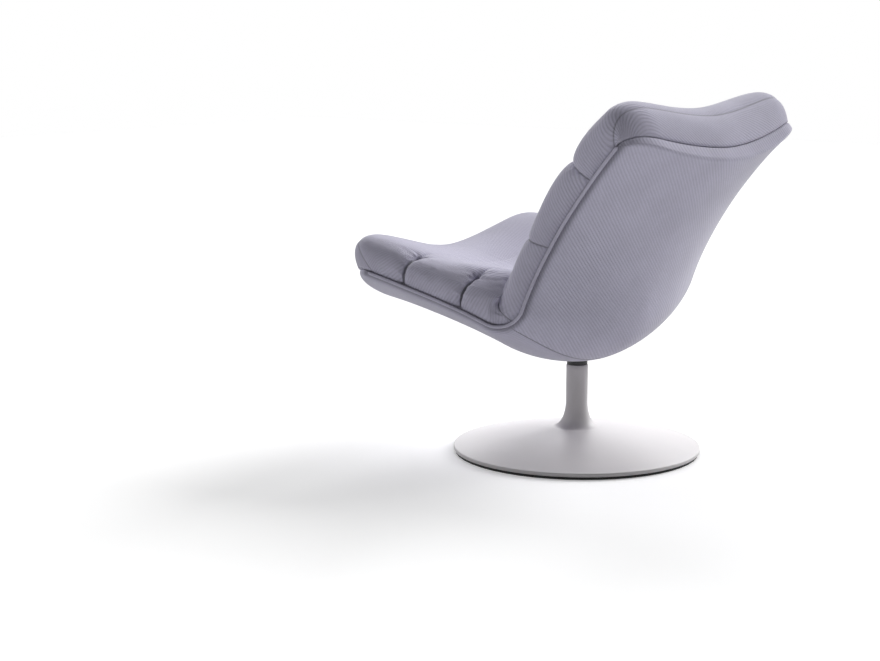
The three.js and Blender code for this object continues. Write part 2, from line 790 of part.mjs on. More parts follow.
// Outer profile of the trumpet, from the rim up to the column top
function trumpetProfile() {
  const rimLow = padHeight + seatGap;
  const rimTop = rimLow + rimHeight;
  const round = rimHeight * rimRoundShare;
  const points = [[footRadius, rimLow], [footRadius, rimTop - round]];
  for (let i = 0; i <= coneSteps; i++) {
    const share = i / coneSteps;
    const crown = 4 * coneCrown * share * (1 - share);
    points.push([lerp(footRadius - round, shoulderRadius, share), lerp(rimTop, shoulderZ, share) + crown]);
  }
  const reach = shoulderRadius - columnRadius;
  const climb = flareTopZ - shoulderZ;
  for (let i = 1; i <= flareSteps; i++) {
    const turn = (i / flareSteps) * (Math.PI / 2);
    points.push([shoulderRadius - reach * Math.sin(turn) ** flarePower, flareTopZ - climb * Math.cos(turn)]);
  }
  points.push([columnRadius, columnTopZ]);
  return points;
}

function trumpet() {
  const outside = trumpetProfile();
  const inside = outside.map(([r, z], i) => {
    const before = outside[Math.max(i - 1, 0)];
    const after = outside[Math.min(i + 1, outside.length - 1)];
    const run = Math.hypot(after[0] - before[0], after[1] - before[1]);
    const inward = [(before[1] - after[1]) / run, (after[0] - before[0]) / run];
    return [r + inward[0] * sheetThickness, z + inward[1] * sheetThickness];
  });
  inside[0] = [footRadius - sheetThickness, outside[0][1]];
  inside[inside.length - 1] = [columnRadius - sheetThickness, columnTopZ];
  return turned([...outside, ...inside.reverse()], footSteps);
}

const ballastLow = padHeight + seatGap;
addPiece(chair, 'floor_pad', roundBar(footRadius - padInset, 0, padHeight, footSteps), 'blackRubber');
addPiece(chair, 'ballast_plate',
  roundBar(footRadius - ballastInset, ballastLow, ballastLow + ballastThickness, footSteps), 'steel');
addPiece(chair, 'stem_tube', stemTube(), 'steel');
addPiece(chair, 'foot_cover', trumpet(), 'paintedFoot');

export default chair;
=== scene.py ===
import math

import bpy
import numpy as np
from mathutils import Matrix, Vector


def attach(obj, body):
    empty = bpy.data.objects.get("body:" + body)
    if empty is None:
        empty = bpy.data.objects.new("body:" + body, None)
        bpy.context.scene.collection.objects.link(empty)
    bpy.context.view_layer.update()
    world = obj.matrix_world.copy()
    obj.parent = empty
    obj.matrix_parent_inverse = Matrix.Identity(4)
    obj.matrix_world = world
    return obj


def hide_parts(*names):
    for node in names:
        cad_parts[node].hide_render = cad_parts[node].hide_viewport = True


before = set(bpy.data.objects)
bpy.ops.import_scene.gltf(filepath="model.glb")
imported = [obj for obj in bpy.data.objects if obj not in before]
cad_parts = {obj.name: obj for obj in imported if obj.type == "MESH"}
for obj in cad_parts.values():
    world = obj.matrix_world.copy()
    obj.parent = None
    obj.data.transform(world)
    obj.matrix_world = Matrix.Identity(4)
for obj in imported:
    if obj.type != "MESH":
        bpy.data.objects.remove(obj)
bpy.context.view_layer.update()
scene = bpy.context.scene

# Camera: it stands at seat height behind the sitter's left shoulder, about four metres away,
# and looks slightly down at the back of the chair.
eye = Vector((3.330, 2.254, 0.959))
gaze = Vector((-0.7726, -0.6117, -0.1700))
lens_mm = 76.38
sensor_mm = 36
camera = bpy.data.objects.new("camera", bpy.data.cameras.new("camera"))
camera.data.lens = lens_mm
camera.data.sensor_width = sensor_mm
camera.location = eye
camera.rotation_euler = gaze.to_track_quat("-Z", "Y").to_euler()
scene.collection.objects.link(camera)
scene.camera = camera
scene.view_settings.view_transform = "Standard"


# Studio floor: a seamless pale sheet. It shows white where nothing shades it, also in
# reflections, and keeps the soft shadow of the chair; to other rays it is plain pale card.
def new_material(name):
    made = bpy.data.materials.new(name)
    made.use_nodes = True
    tree = made.node_tree
    shader = tree.nodes["Principled BSDF"]
    return made, tree, shader


def add_node(tree, kind, **settings):
    node = tree.nodes.new(kind)
    for key, value in settings.items():
        if key in node.inputs:
            node.inputs[key].default_value = value
        else:
            setattr(node, key, value)
    return node


def any_of(tree, sockets):
    total = sockets[0]
    for extra in sockets[1:]:
        join = add_node(tree, "ShaderNodeMath", operation="MAXIMUM")
        tree.links.new(total, join.inputs[0])
        tree.links.new(extra, join.inputs[1])
        total = join.outputs[0]
    return total


def white_to_the_eye(tree):
    rays = add_node(tree, "ShaderNodeLightPath")
    return any_of(tree, [
        rays.outputs["Is Camera Ray"],
        rays.outputs["Is Glossy Ray"],
        rays.outputs["Is Transmission Ray"],
    ])


floor_half = 9
floor_card = 0.8
floor_seen = 0.95
floor_glow = 0.27
floor_mesh = bpy.data.meshes.new("studio_floor")
floor_mesh.from_pydata(
    [(-floor_half, -floor_half, 0), (floor_half, -floor_half, 0),
     (floor_half, floor_half, 0), (-floor_half, floor_half, 0)], [], [(0, 1, 2, 3)])
floor = bpy.data.objects.new("studio_floor", floor_mesh)
scene.collection.objects.link(floor)
floor_paper, tree, shader = new_material("studio_paper")
tree.nodes.remove(shader)
card = add_node(tree, "ShaderNodeBsdfDiffuse", Color=(floor_card,) * 3 + (1,))
seen = add_node(tree, "ShaderNodeBsdfDiffuse", Color=(floor_seen,) * 3 + (1,))
glow = add_node(tree, "ShaderNodeEmission", Color=(1, 1, 1, 1), Strength=floor_glow)
lit = add_node(tree, "ShaderNodeAddShader")
either = add_node(tree, "ShaderNodeMixShader")
tree.links.new(seen.outputs[0], lit.inputs[0])
tree.links.new(glow.outputs[0], lit.inputs[1])
tree.links.new(white_to_the_eye(tree), either.inputs[0])
tree.links.new(card.outputs[0], either.inputs[1])
tree.links.new(lit.outputs[0], either.inputs[2])
tree.links.new(either.outputs[0], tree.nodes["Material Output"].inputs["Surface"])
floor_mesh.materials.append(floor_paper)


# Studio light: a large soft window on the right, in three parts, lights the back and throws the
# shadow to the left. A sheet beyond the chair lights its tops, and a weaker one fills the near
# side. Each is given by where it stands, to the right, ahead and up as the camera sees it.
view_right = Vector((-gaze.y, gaze.x, 0)).normalized() * -1
view_ahead = Vector((gaze.x, gaze.y, 0)).normalized()


def soft_light(name, stands, level, spread_degrees):
    lamp = bpy.data.lights.new(name, "SUN")
    lamp.energy = level * math.pi
    lamp.angle = math.radians(spread_degrees)
    right, ahead, up = stands
    toward = right * view_right + ahead * view_ahead + up * Vector((0, 0, 1))
    holder = bpy.data.objects.new(name, lamp)
    holder.rotation_euler = toward.to_track_quat("Z", "Y").to_euler()
    scene.collection.objects.link(holder)


soft_light("window", stands=(1.35, 1.09, 1.0), level=0.82, spread_degrees=34)
soft_light("low_window", stands=(1.7, 0.28, 1.0), level=0.08, spread_degrees=34)
soft_light("high_window", stands=(0.65, 0.245, 0.72), level=0.05, spread_degrees=34)
soft_light("rear_sheet", stands=(0.0, 1.5, 1.0), level=0.46, spread_degrees=40)
soft_light("left_sheet", stands=(-1.2, 0.2, 1.0), level=0.24, spread_degrees=50)
room_grey, room_blue = 0.03, 0.0306
room = bpy.data.worlds.new("room")
room.use_nodes = True
scene.world = room
tree = room.node_tree
soft_room = tree.nodes["Background"]
soft_room.inputs["Color"].default_value = (room_grey, room_grey, room_blue, 1)
white_room = add_node(tree, "ShaderNodeBackground", Color=(1, 1, 1, 1), Strength=1)
either = add_node(tree, "ShaderNodeMixShader")
tree.links.new(white_to_the_eye(tree), either.inputs[0])
tree.links.new(soft_room.outputs[0], either.inputs[1])
tree.links.new(white_room.outputs[0], either.inputs[2])
tree.links.new(either.outputs[0], tree.nodes["World Output"].inputs["Surface"])


# Seat cover: the padded skin under the seat. Ribbed velour over thin foam, pulled round the
# moulded shell, turned in at a soft lip and sewn to the back cover along a curved seam.
hub_place = Vector((0, -0.00109, 0.23841))
seat_run, lumbar_run, back_run, head_run = 0.393, 0.224, 0.236, 0.181
shell_arcs = [(seat_run, -12.6), (lumbar_run, 98.3), (back_run, -27.8), (head_run, -12.9)]
start_tilt = math.radians(-6.3)
shell_length = seat_run + lumbar_run + back_run + head_run
hub_along = seat_run + lumbar_run * 0.12
hollow_power = 1.71
corner_start = 0.72
front_bow, front_corner = 0.021, 0.060
top_bow, top_corner = 0.009, 0.041


# Height, depth and slope of the shell's centre line, a chain of four arcs
def arc_chain(along):
    along = np.asarray(along, float)
    y, z = np.zeros(along.shape), np.zeros(along.shape)
    slope, left = np.full(along.shape, start_tilt), along.copy()
    for i, (length, turn) in enumerate(shell_arcs):
        low = -np.inf if i == 0 else 0
        high = np.inf if i == len(shell_arcs) - 1 else length
        step = np.clip(left, low, high)
        bend = math.radians(turn) / length
        end = slope + bend * step
        y = y + (np.sin(end) - np.sin(slope)) / bend
        z = z - (np.cos(end) - np.cos(slope)) / bend
        slope, left = end, left - step
    return y, z, slope


hub_y, hub_z, _ = arc_chain(hub_along)


# A cubic curve through the given values, unbent at both ends
def smooth_curve(places, values):
    places, values = np.array(places, float), np.array(values, float)
    gaps, count = np.diff(places), len(places)
    system, wanted = np.eye(count), np.zeros(count)
    for i in range(1, count - 1):
        system[i, i - 1:i + 2] = gaps[i - 1], 2 * (gaps[i - 1] + gaps[i]), gaps[i]
        wanted[i] = 6 * ((values[i + 1] - values[i]) / gaps[i]
                         - (values[i] - values[i - 1]) / gaps[i - 1])
    bends = np.linalg.solve(system, wanted)

    def at(x):
        x = np.clip(x, places[0], places[-1])
        i = np.clip(np.searchsorted(places, x, side="right") - 1, 0, count - 2)
        after, before, gap = places[i + 1] - x, x - places[i], gaps[i]
        cubic = (bends[i] * after ** 3 + bends[i + 1] * before ** 3) / (6 * gap)
        return (cubic + (values[i] / gap - gap * bends[i] / 6) * after
                + (values[i + 1] / gap - gap * bends[i + 1] / 6) * before)
    return at


shell_stations = [0, seat_run / 2, seat_run + lumbar_run / 2,
                  seat_run + lumbar_run + back_run * 0.55, shell_length]
half_width_at = smooth_curve(shell_stations, [0.332, 0.342, 0.327, 0.319, 0.329])
hollow_at = smooth_curve(shell_stations, [0.095, 0.091, 0.084, 0.046, 0.056])


# A point over the hollow shell: across is a share of the half width, lift is square to the shell
def over_shell(along, across, lift=0.0, push=0.0):
    y, z, slope = arc_chain(along)
    rise = hollow_at(along) * np.abs(across) ** hollow_power + lift
    x = half_width_at(along) * across + push * np.sign(across)
    return np.stack([x + 0 * y, y - hub_y + hub_place.y - rise * np.sin(slope),
                     z - hub_z + hub_place.z + rise * np.cos(slope)], -1)


def corner_drop(across):
    past = np.clip((np.abs(across) - corner_start) / (1 - corner_start), 0, 1)
    return 1 - np.sqrt(1 - past * past)


def front_edge(across):
    return front_bow * across ** 2 + front_corner * corner_drop(across)


def top_edge(across):
    return shell_length + top_bow * across ** 2 - top_corner * corner_drop(across)


def ease(x, low, high):
    share = np.clip((x - low) / (high - low), 0, 1)
    return share * share * (3 - 2 * share)


cover_thickness = 0.032
rim_thinning = 0.5
front_step, front_step_across = 0.006, (0.5, 0.9)
lip_round, lip_inner_round, front_round = 0.007, 0.006, 0.018
rim_round, seam_round = 0.0105, 0.0022
seam_middle, seam_side, seam_power = 0.478, 0.536, 1.8
touch_gap = 0.0003
piping_radius = 0.0034

# Inside, the cover leaves a rebate for the piping and room for the core and the plate: each pair
# says where, from the edge, the side or the middle of the shell, that room starts and is full
core_room, core_room_end, core_room_side = 0.0089, (0.018, 0.024), (0.0105, 0.0145)
rebate_side, rebate_end = (0.001, 0.007), (0.001, 0.011)
plate_room, plate_room_middle = 0.0135, 0.009
plate_room_x, plate_room_y = (0.063, 0.072), (0.056, 0.064)
plate_room_margin = 0.01


def cover_front(across):
    return front_edge(across) + front_step * ease(np.abs(across), *front_step_across)


def quarter_fall(distance, radius):
    near = np.clip(1 - distance / radius, 0, 1)
    return radius * (1 - np.sqrt(1 - near * near))


def cover_seam(across):
    share = np.minimum(np.abs(across), 1) ** seam_power
    return seam_middle + (seam_side - seam_middle) * share


def cover_outside(along, across, seam_distance):
    thinned = cover_thickness * (1 - rim_thinning * across ** 4)
    to_edge = np.minimum(along - cover_front(across), top_edge(across) - along)
    to_side = half_width_at(along) * (1 - np.abs(across))
    to_front = np.maximum(along - cover_front(across), 0)
    fall = quarter_fall(np.maximum(to_edge, 0), lip_round) * thinned / cover_thickness
    fall = np.maximum(fall, quarter_fall(to_front, front_round) * thinned / cover_thickness)
    fall = np.maximum(fall, quarter_fall(to_side, rim_round))
    return -thinned + np.maximum(fall, quarter_fall(seam_distance, seam_round))


def cover_inside(along, across):
    to_edge = np.minimum(along - cover_front(across), top_edge(across) - along)
    to_side = half_width_at(along) * (1 - np.abs(across))
    rebate = 2 * piping_radius * (1 - ease(to_side, *rebate_side)) * ease(to_edge, *rebate_end)
    rim = -touch_gap - quarter_fall(np.maximum(to_edge, 0), lip_inner_round) - rebate
    deep = ease(to_edge, *core_room_end) * ease(to_side, *core_room_side)
    lift = rim * (1 - deep) - core_room * deep
    place = over_shell(along, across)
    over_plate = (1 - ease(np.abs(place[..., 0]), *plate_room_x)) * (
        1 - ease(np.abs(place[..., 1] - plate_room_middle), *plate_room_y))
    under_seat = along < cover_seam(0) + plate_room_margin
    return lift - plate_room * over_plate * under_seat


# A closed piece from an upper and a lower grid of points, walled round its rim where they part
# Each extra attribute is a mask of painted shade that darkens the velour colour
def piece_from_grids(name, upper, lower, weave, shade_masks):
    rows, columns = upper.shape[:2]
    count = rows * columns
    points = np.concatenate([upper.reshape(-1, 3), lower.reshape(-1, 3)])
    top = np.arange(count).reshape(rows, columns)
    rim = np.ones((rows, columns), bool)
    rim[1:-1, 1:-1] = False
    joined = rim & (np.linalg.norm(upper - lower, axis=2) < 1e-6)
    under = np.where(joined, top, top + count)

    def between(grid):
        return np.stack([grid[:-1, :-1], grid[:-1, 1:], grid[1:, 1:], grid[1:, :-1]],
                        -1).reshape(-1, 4)

    loop = [*[(0, j) for j in range(columns - 1)], *[(i, columns - 1) for i in range(rows - 1)],
            *[(rows - 1, j) for j in range(columns - 1, 0, -1)],
            *[(i, 0) for i in range(rows - 1, 0, -1)]]
    wall = [(top[b], top[a], under[a], under[b]) for a, b in zip(loop, loop[1:] + loop[:1])]
    faces = np.concatenate([between(top), between(under)[:, ::-1], np.array(wall)])
    a, b, c, d = (points[faces[:, k]] for k in range(4))
    volume = np.einsum("ij,ij->i", np.cross(a, b), c).sum()
    volume += np.einsum("ij,ij->i", np.cross(a, c), d).sum()
    if volume < 0:
        faces = faces[:, ::-1]
    kept, index = np.unique(faces, return_inverse=True)
    faces = index.reshape(faces.shape)
    lists = []
    for face in faces.tolist():
        corners = [p for k, p in enumerate(face) if p != face[k - 1]]
        if len(set(corners)) > 2:
            lists.append(corners)
    mesh = bpy.data.meshes.new(name)
    mesh.from_pydata(points[kept].tolist(), [], lists)
    both = {key: np.concatenate([value.reshape(count, -1)] * 2)[kept]
            for key, value in {"weave": weave, **shade_masks}.items()}
    corner_of = np.zeros(len(mesh.loops), np.int32)
    mesh.loops.foreach_get("vertex_index", corner_of)
    layer = mesh.uv_layers.new(name="weave")
    layer.data.foreach_set("uv", both["weave"][corner_of].astype(np.float32).ravel())
    for key in shade_masks:
        attribute = mesh.attributes.new(key, "FLOAT", "POINT")
        attribute.data.foreach_set("value", both[key].astype(np.float32).ravel())
    mesh.polygons.foreach_set("use_smooth", [True] * len(mesh.polygons))
    mesh.update()
    made = bpy.data.objects.new(name, mesh)
    scene.collection.objects.link(made)
    return made


def run_down(points):
    steps = np.linalg.norm(np.diff(points, axis=0), axis=2)
    return np.concatenate([np.zeros((1, points.shape[1])), np.cumsum(steps, axis=0)])


def length_across(points):
    run = run_down(points.swapaxes(0, 1)).T
    middle = run[:, points.shape[1] // 2][:, None]
    return (run - middle) * np.sign(points[:1, -1:, 0] - points[:1, :1, 0])


def length_along(points, place, reference):
    run = run_down(points)
    start = [np.interp(reference, place[:, j], run[:, j]) for j in range(points.shape[1])]
    return run - np.array(start)[None, :] + reference


velour_colour = (0.560, 0.543, 0.672)
rib_pitch, rib_depth, rib_wander = 0.0063, 0.00045, 0.0016
tuft_scale, tuft_height = (330, 110, 1), 1.1
# seam_shade is the share of the colour left where the painted shade along seams and edges is
# darkest
mottle, seam_shade = 0.05, 0.55


def math_node(tree, operation, *values):
    node = add_node(tree, "ShaderNodeMath", operation=operation)
    for socket, value in zip(node.inputs, values):
        if isinstance(value, (int, float)):
            socket.default_value = value
        else:
            tree.links.new(value, socket)
    return node.outputs[0]


def range_node(tree, value, low, high, to_low, to_high, bend="LINEAR"):
    node = add_node(tree, "ShaderNodeMapRange", interpolation_type=bend)
    for name, number in zip(["From Min", "From Max", "To Min", "To Max"],
                            [low, high, to_low, to_high]):
        node.inputs[name].default_value = number
    tree.links.new(value, node.inputs["Value"])
    return node.outputs[0]


# The ribs run square to the weave map's first direction, with uneven tufts of pile over them
def velour(name, colour, depth, pitch):
    made, tree, shader = new_material(name)
    link = tree.links.new
    weave = add_node(tree, "ShaderNodeUVMap", uv_map="weave")
    split = add_node(tree, "ShaderNodeSeparateXYZ")
    link(weave.outputs[0], split.inputs[0])
    body = add_node(tree, "ShaderNodeTexCoord")
    drift = add_node(tree, "ShaderNodeTexNoise", Scale=28.0, Detail=2.0)
    link(body.outputs["Object"], drift.inputs["Vector"])
    shifted = math_node(tree, "MULTIPLY_ADD", drift.outputs[0], rib_wander, split.outputs["X"])
    turns = math_node(tree, "MULTIPLY", shifted, 2 * math.pi / pitch)
    rib = range_node(tree, math_node(tree, "SINE", turns), -1.0, 0.6, 0.0, 1.0, "SMOOTHSTEP")
    stretch = add_node(tree, "ShaderNodeMapping")
    stretch.inputs["Scale"].default_value = tuft_scale
    link(weave.outputs[0], stretch.inputs["Vector"])
    tufts = add_node(tree, "ShaderNodeTexNoise", Scale=1.0, Detail=3.0, Roughness=0.6)
    link(stretch.outputs[0], tufts.inputs["Vector"])
    height = math_node(tree, "MULTIPLY_ADD", tufts.outputs[0], tuft_height, rib)
    bump = add_node(tree, "ShaderNodeBump", Strength=1.0, Distance=depth)
    link(height, bump.inputs["Height"])
    link(bump.outputs[0], shader.inputs["Normal"])
    cloud = add_node(tree, "ShaderNodeTexNoise", Scale=9.0, Detail=4.0, Roughness=0.55)
    link(body.outputs["Object"], cloud.inputs["Vector"])
    shade = range_node(tree, cloud.outputs[0], 0.3, 0.7, 1 - mottle, 1 + mottle)
    # Painted shade and highlight: the velour colour is darker in the rib grooves and lighter on
    # the crests
    groove = range_node(tree, height, 0.0, 1.8, 0.86, 1.10)
    # Painted shade: the seam attribute darkens the velour colour along the seams and the edges of
    # each piece
    seam = add_node(tree, "ShaderNodeAttribute", attribute_name="seam")
    painted_seam_shade = range_node(tree, seam.outputs["Fac"], 0.0, 1.0, 1.0, seam_shade)
    tone = math_node(tree, "MULTIPLY", math_node(tree, "MULTIPLY", shade, groove), painted_seam_shade)
    tinted = add_node(tree, "ShaderNodeVectorMath", operation="SCALE")
    tinted.inputs[0].default_value = colour
    link(tone, tinted.inputs["Scale"])
    link(tinted.outputs[0], shader.inputs["Base Color"])
    shader.inputs["Roughness"].default_value = 0.92
    shader.inputs["Specular IOR Level"].default_value = 0.1
    shader.inputs["Sheen Weight"].default_value = 0.55
    shader.inputs["Sheen Roughness"].default_value = 0.35
    return made


def round_steps(length, count):
    return length * (1 - np.cos(np.linspace(0, math.pi / 2, count)))


def nearness(distance, reach):
    return np.exp(-(distance / reach) ** 2)


rib_velour = velour("rib_velour", velour_colour, rib_depth, rib_pitch)
side_band, middle_columns, seat_cover_rows, back_cover_rows = 0.06, 131, 88, 120
side_steps = round_steps(side_band, 12)
middle_line = np.linspace(side_band - 1, 1 - side_band, middle_columns)
cover_columns = np.concatenate([side_steps - 1, middle_line[1:-1], 1 - side_steps[::-1]])
lip_steps, front_steps = round_steps(0.009, 12), round_steps(0.020, 20)
seam_steps = round_steps(0.004, 7)
seam_shade_reach, rim_shade_reach = 0.0018, 0.0030


# Rows of points between two edges, closer together near both, and the skin's two sides there
def cover_piece(low, high, low_steps, high_steps, inner_rows, seam_at_high):
    low_steps, high_steps = low_steps[:, None], high_steps[::-1][:, None]
    share = np.linspace(0, 1, inner_rows)[1:-1][:, None]
    first, last = low + low_steps[-1], high - high_steps[0]
    along = np.concatenate([low + low_steps, first + (last - first) * share, high - high_steps])
    across = np.broadcast_to(cover_columns[None, :], along.shape)
    seam_distance = (high - along) if seam_at_high else (along - low)
    upper = over_shell(along, across, cover_outside(along, across, seam_distance))
    lower = over_shell(along, across, cover_inside(along, across))
    rim_distance = half_width_at(along) * (1 - np.abs(across))
    # Painted shade mask: near the seam and near the side rim, where the velour colour is darkened
    seam = np.maximum(nearness(seam_distance, seam_shade_reach),
                      nearness(rim_distance, rim_shade_reach))
    return along, upper, lower, seam


seam_line, seat_reference = cover_seam(cover_columns)[None, :], 0.3
along, upper, lower, seam = cover_piece(cover_front(cover_columns)[None, :], seam_line,
                                        front_steps, seam_steps, seat_cover_rows, True)
weave = np.stack([length_across(upper), length_along(upper, along, seat_reference)], -1)
seat_cover = piece_from_grids("seat_cover_skin", upper, lower, weave, {"seam": seam})
collar_hole_radius, collar_hole_low, collar_hole_high = 0.0232, 0.15, 0.232
collar_hole_sides = 64


def cut_round_hole(piece, radius, low, high):
    turns = np.linspace(0, 2 * math.pi, collar_hole_sides + 1)[:-1]
    ring = [(radius * math.cos(t), radius * math.sin(t)) for t in turns]
    count = len(ring)
    corners = [(x, y, low) for x, y in ring] + [(x, y, high) for x, y in ring]
    faces = [tuple(range(count))[::-1], tuple(range(count, 2 * count))]
    faces += [(i, (i + 1) % count, count + (i + 1) % count, count + i) for i in range(count)]
    mesh = bpy.data.meshes.new("hole_cutter")
    mesh.from_pydata(corners, [], faces)
    cutter = bpy.data.objects.new("hole_cutter", mesh)
    scene.collection.objects.link(cutter)
    step = piece.modifiers.new("hole", "BOOLEAN")
    step.operation, step.object, step.solver = "DIFFERENCE", cutter, "FAST"
    bpy.context.view_layer.update()
    graph = bpy.context.evaluated_depsgraph_get()
    cut = bpy.data.meshes.new_from_object(piece.evaluated_get(graph))
    piece.modifiers.clear()
    piece.data = cut
    bpy.data.objects.remove(cutter)


cut_round_hole(seat_cover, collar_hole_radius, collar_hole_low, collar_hole_high)
seat_cover.data.materials.clear()
seat_cover.data.materials.append(rib_velour)
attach(seat_cover, "seat")
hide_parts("seat_cover")


# Back cover: the large outer skin of the back, one piece of ribbed velour over thin foam. Its
# ribs run across on the bias, and its top edge is a soft lip round the head of the shell.
back_reference, cover_bias = 0.8, (0.606, 0.795)


def on_the_bias(first, second, straight, slant):
    return np.stack([straight * first - slant * second, slant * first + straight * second], -1)


along, upper, lower, seam = cover_piece(seam_line + touch_gap, top_edge(cover_columns)[None, :],
                                        seam_steps, lip_steps, back_cover_rows, False)
sideways = length_across(upper)
upward = length_along(upper, along, back_reference)
weave = on_the_bias(sideways, upward, *cover_bias)
back_cover = piece_from_grids("back_cover_skin", upper, lower, weave, {"seam": seam})
back_cover.data.materials.append(rib_velour)
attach(back_cover, "seat")
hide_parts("back_cover")


# Pipings: two thin cords in folded velour, sewn into the crease between cushion and cover
# down the sitter's left and right sides.
# Painted light: the piping's velour is a lighter copy of the cover's velour colour, set against
# the shade of the crease
piping_lit_colour, piping_rib_depth, piping_rib_pitch = (0.60, 0.58, 0.71), 0.0003, 0.0024
piping_velour = velour("piping_velour", piping_lit_colour, piping_rib_depth, piping_rib_pitch)
piping_sides, piping_rows = 14, 420
piping_end_gap, piping_end_rows = 0.001, 3
piping_drop, piping_girth = 1.15 * piping_radius, 0.02


def side_cord(name, side, node):
    along = np.linspace(cover_front(1.0) + piping_end_gap, top_edge(1.0) - piping_end_gap,
                        piping_rows)
    path = over_shell(along, np.full(piping_rows, float(side)),
                      -(piping_drop + touch_gap), piping_radius)
    ahead = np.gradient(path, axis=0)
    ahead /= np.linalg.norm(ahead, axis=1)[:, None]
    out = np.array([float(side), 0, 0])[None, :] - ahead * (ahead[:, :1] * side)
    out /= np.linalg.norm(out, axis=1)[:, None]
    up = np.cross(ahead, out)
    turns = np.linspace(0, 2 * math.pi, piping_sides + 1)[:-1]
    from_end = np.minimum(np.arange(piping_rows), np.arange(piping_rows)[::-1])
    radius = piping_radius * np.sqrt(np.clip(from_end / piping_end_rows, 0.0, 1.0))
    ring = (path[:, None, :] + radius[:, None, None] * (
        np.cos(turns)[None, :, None] * out[:, None, :]
        + np.sin(turns)[None, :, None] * up[:, None, :]))
    points = [*ring[1:-1].reshape(-1, 3).tolist(), path[0].tolist(), path[-1].tolist()]
    rings = piping_rows - 2
    faces = []
    for i in range(rings - 1):
        for j in range(piping_sides):
            k = (j + 1) % piping_sides
            low, high = i * piping_sides, (i + 1) * piping_sides
            faces.append((low + j, low + k, high + k, high + j))
    start, end = rings * piping_sides, rings * piping_sides + 1
    last = (rings - 1) * piping_sides
    for j in range(piping_sides):
        k = (j + 1) % piping_sides
        faces.append((start, k, j))
        faces.append((end, last + j, last + k))
    if side < 0:
        faces = [face[::-1] for face in faces]
    mesh = bpy.data.meshes.new(name)
    mesh.from_pydata(points, [], faces)
    run = np.concatenate([[0], np.cumsum(np.linalg.norm(np.diff(path, axis=0), axis=1))])
    uv = [(run[i + 1], j / piping_sides * piping_girth) for i in range(rings)
          for j in range(piping_sides)] + [(0, 0), (run[-1], 0)]
    layer = mesh.uv_layers.new(name="weave")
    for corner in mesh.loops:
        layer.data[corner.index].uv = uv[corner.vertex_index]
    mesh.polygons.foreach_set("use_smooth", [True] * len(mesh.polygons))
    mesh.materials.append(piping_velour)
    cord = bpy.data.objects.new(name, mesh)
    scene.collection.objects.link(cord)
    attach(cord, "seat")
    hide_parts(node)


side_cord("left_piping_cord", 1, "left_piping")
side_cord("right_piping_cord", -1, "right_piping")


# Seat cushion: a thick foam pad in ribbed velour, sewn through into three cross ribs. The
# channels are pulled down hard at a tuft near each side, and a seam rounds off the nose.
crown_stations = [0, 0.0905, seat_run / 2, 0.325, 0.395, 0.560, 0.665, shell_stations[3],
                  0.95464, shell_length]
crown_at = smooth_curve(crown_stations, [
    0.0988, 0.1086, 0.102, 0.112, 0.118, 0.090, 0.105, 0.1080, 0.1205, 0.104])
channel_places = [0.181, 0.325, 0.560, 0.751, 0.910]
crease = channel_places[2]
nose_roll, head_roll, end_rib_run = 0.046, 0.045, 0.6
roll_power, rib_power, crown_power, side_power = 2.4, 2.3, 2.6, 4.9
side_bulge, nose_bulge, head_bulge, head_lean, back_sag = 0.011, 0.015, 0.006, 0.019, 0.020

# Share of the height lost in each channel, in the middle and near the sides
channel_valleys = [(0.015, 0.12), (0.015, 0.12), (0.02, 0.03), (0.07, 0.07), (0.20, 0.20)]
deepest_valley, valley_side = 0.24, (0.70, 0.88)

# The rear of the seat is fuller near its sides: where that starts and ends, across and along
bolster_height, bolster_inner, bolster_outer = 0.018, (0.15, 0.55), (0.78, 0.92)
bolster_front, bolster_back, bolster_end = (0.20, 0.35), (0.42, 0.60), (0.62, 0.78)
bolster_loss = 0.7


def roll_share(turn):
    return 1 - np.cos(turn) ** (2 / roll_power)


def roll_rise(turn):
    return np.sin(turn) ** (2 / roll_power)


def full_rib(share):
    return (1 - np.abs(2 * share - 1) ** rib_power) ** (1 / rib_power)


def end_rib(share):
    return (1 - (1 - np.minimum(share / end_rib_run, 1)) ** rib_power) ** (1 / rib_power)


# A row is its place, its shares of the front and top edge, how far it has rolled, ribbed,
# leaned and sagged, and the two valleys of its nearer channel
def nose_rows(turns):
    return [[nose_roll * roll_share(t), 1, 0, roll_rise(t), 1, -1, 0, 0, 0] for t in turns]


def first_rows(shares):
    return [[nose_roll * (1 - x) + channel_places[0] * x, 1 - x, 0, 1, end_rib(1 - x), x - 1, 0,
             *channel_valleys[0]] for x in shares]


def middle_rows(i, shares):
    low, high = channel_places[i], channel_places[i + 1]
    sags = [float(place > crease + 0.001) for place in (low, high)]
    return [[low + (high - low) * x, 0, 0, 1, full_rib(x), 0, sags[0] + (sags[1] - sags[0]) * x,
             *channel_valleys[i if x < 0.5 else i + 1]] for x in shares]


def last_rows(shares):
    return [[-head_roll * (1 - x) + channel_places[4] * x, 0, 1 - x, 1, end_rib(1 - x), 1 - x, x,
             *channel_valleys[4]] for x in shares]


def head_rows(turns):
    return [[-head_roll * roll_share(t), 0, 1, roll_rise(t), 1, 1, 0, 0, 0] for t in turns]


def section_of(turns):
    level = np.cos(np.asarray(turns, float))
    return np.sign(level) * np.abs(level) ** (2 / side_power)


def shell_places(rows, turns):
    rows = np.asarray(rows, float)[:, None, :]
    across = section_of(turns)[None, :]
    return rows[..., 0] + rows[..., 1] * front_edge(across) + rows[..., 2] * top_edge(across)


